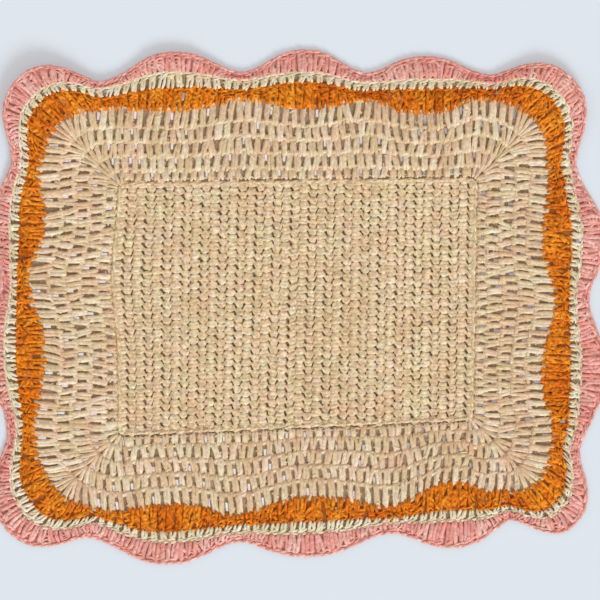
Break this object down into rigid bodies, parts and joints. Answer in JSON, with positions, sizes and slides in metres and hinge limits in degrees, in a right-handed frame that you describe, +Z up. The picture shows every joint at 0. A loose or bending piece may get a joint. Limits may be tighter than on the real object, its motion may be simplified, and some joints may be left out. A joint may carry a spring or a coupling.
{
  "type": "crocheted raffia placemat",
  "caption": "Oblong crocheted raffia placemat: ribbed centre panel, open rounds of tall stitches, then orange, natural and pink scalloped edging.",
  "frame": {"origin": "centre of the mat's outline, on the surface that it lies on", "axes": "+X along the long side, to the right as one sits at the mat; +Y away from the sitter; +Z up, out of the right side of the crochet"},
  "size_m": [0.4582, 0.381, 0.0125],
  "materials": {
    "natural_raffia": "dry raffia yarn in tight rows, satin strands with matt crevices",
    "natural_raffia_open": "dry raffia yarn in open tall stitches, satin strands with matt crevices",
    "orange_raffia": "dyed raffia yarn, satin strands with matt crevices",
    "pale_raffia": "pale undyed raffia yarn, satin strands",
    "pink_raffia": "dyed raffia yarn, satin strands with matt crevices"
  },
  "bodies": {
    "root": {"centre_panel": "natural_raffia", "natural_border": "natural_raffia_open", "orange_band": "orange_raffia", "natural_trim": "pale_raffia", "pink_edging": "pink_raffia"}
  },
  "joints": []
}
